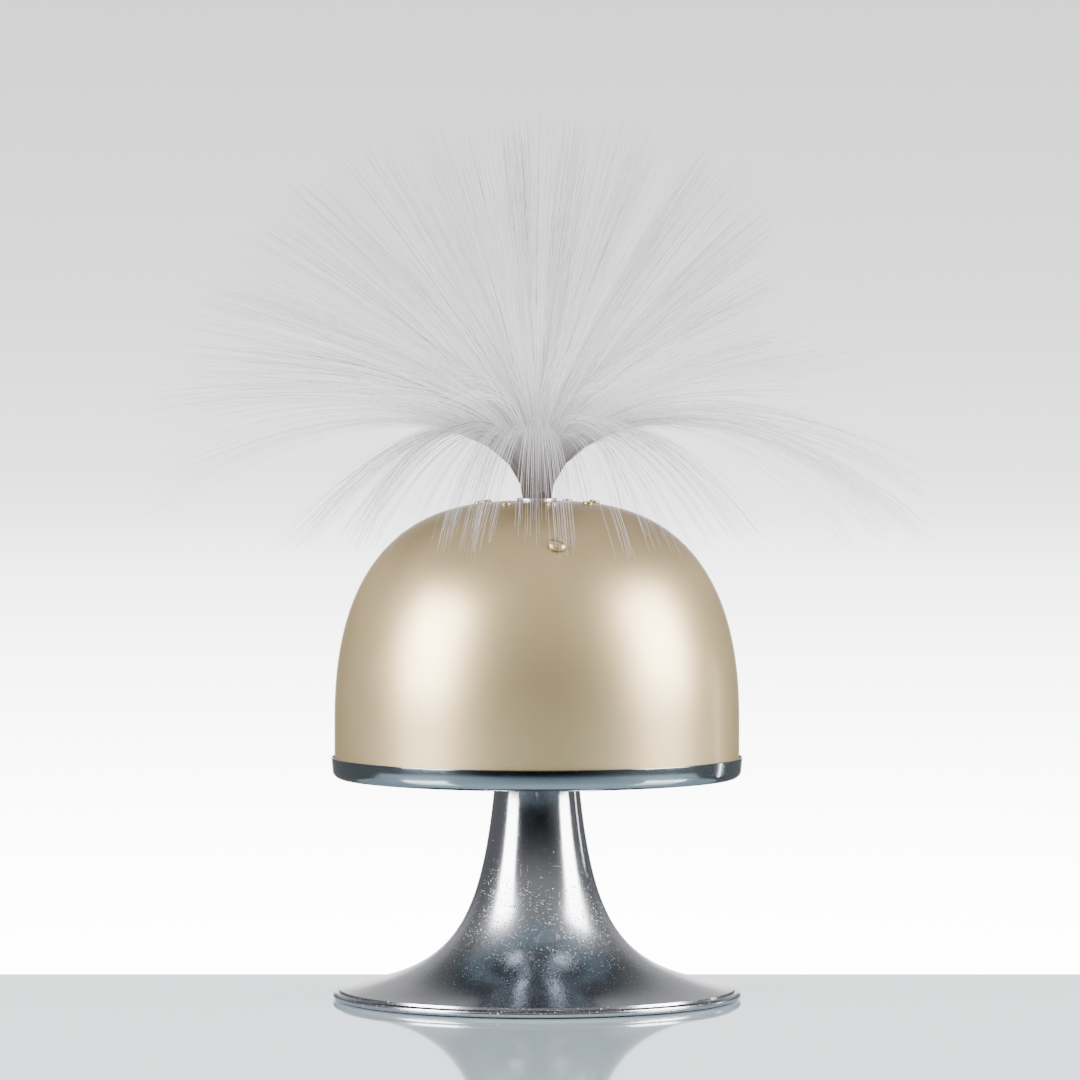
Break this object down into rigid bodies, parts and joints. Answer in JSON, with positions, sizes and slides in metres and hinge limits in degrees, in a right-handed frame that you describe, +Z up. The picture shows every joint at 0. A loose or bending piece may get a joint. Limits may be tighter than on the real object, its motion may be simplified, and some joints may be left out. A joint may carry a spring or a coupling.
{
  "type": "fibre-optic table lamp",
  "caption": "Table lamp with a trumpet foot, round tray and painted metal dome that hides a bulb and a motor-driven colour wheel; optical fibres fan out of the dome's top.",
  "frame": {"origin": "on the table, at the middle of the underside of the felt pad under the foot", "axes": "+Z up along the lamp's axis of revolution, -Y toward the viewer of the picture, +X to the viewer's right; the cord inlet is at +Y"},
  "size_m": [0.3945, 0.3937, 0.4325],
  "materials": {
    "chrome": "chromed sheet, lightly pitted",
    "gold_paint": "champagne-gold metallic paint, satin",
    "steel": "zinc-plated steel",
    "brass": "plain",
    "iron": "rough casting",
    "felt": "dark green felt",
    "bakelite": "brown-black moulding",
    "aluminium": "turned and pressed",
    "fibre": "clear optical fibre",
    "glass": "clear bulb glass",
    "lead": "flexible insulation",
    "red_filter": "dyed clear sheet",
    "green_filter": "dyed clear sheet",
    "blue_filter": "dyed clear sheet",
    "amber_filter": "dyed clear sheet"
  },
  "bodies": {
    "lamp": {"foot": "chrome", "felt_pad": "felt", "base_cover": "steel", "cover_screw_1": "steel", "cover_screw_2": "steel", "cover_screw_3": "steel", "cord_inlet_bush": "bakelite", "ballast_disc": "iron", "threaded_rod": "brass", "rod_washer": "steel", "rod_nut": "steel", "tray": "chrome", "tray_washer": "steel", "tray_nut": "steel", "pillar_1": "steel", "pillar_2": "steel", "pillar_3": "steel", "pillar_foot_screw_1": "steel", "pillar_foot_screw_2": "steel", "pillar_foot_screw_3": "steel", "pillar_head_screw_1": "steel", "pillar_head_screw_2": "steel", "pillar_head_screw_3": "steel", "deck": "steel", "motor_can": "steel", "motor_gearbox": "brass", "motor_screw_1": "steel", "motor_screw_2": "steel", "motor_lead": "lead", "lamp_holder": "bakelite", "bulb_cap": "brass", "bulb_glass": "glass"},
    "colour_wheel": {"motor_shaft": "steel", "wheel_hub": "brass", "wheel_frame": "aluminium", "colour_filter_1": "red_filter", "colour_filter_2": "green_filter", "colour_filter_3": "blue_filter", "colour_filter_4": "amber_filter", "wheel_cap": "brass"},
    "dome": {"dome": "gold_paint", "dome_screw_1": "gold_paint", "dome_screw_2": "gold_paint", "dome_screw_3": "gold_paint", "dome_nut_1": "steel", "dome_nut_2": "steel", "dome_nut_3": "steel", "socket_plate": "steel", "socket_sleeve": "steel", "socket_nut": "steel"},
    "spray": {"ferrule": "aluminium", "fibre_core": "fibre", "fibre_middle": "fibre", "fibre_skirt": "fibre"}
  },
  "joints": [
    {"name": "wheel_turn", "type": "hinge", "parent": "lamp", "child": "colour_wheel", "pos_m": [0, 0.034, 0.2], "axis": [0, 0, 1], "continuous": true},
    {"name": "dome_lift", "type": "slide", "parent": "lamp", "child": "dome", "axis": [0, 0, 1], "range_m": [0, 0.12]},
    {"name": "spray_lift", "type": "slide", "parent": "dome", "child": "spray", "axis": [0, 0, 1], "range_m": [0, 0.042]}
  ]
}
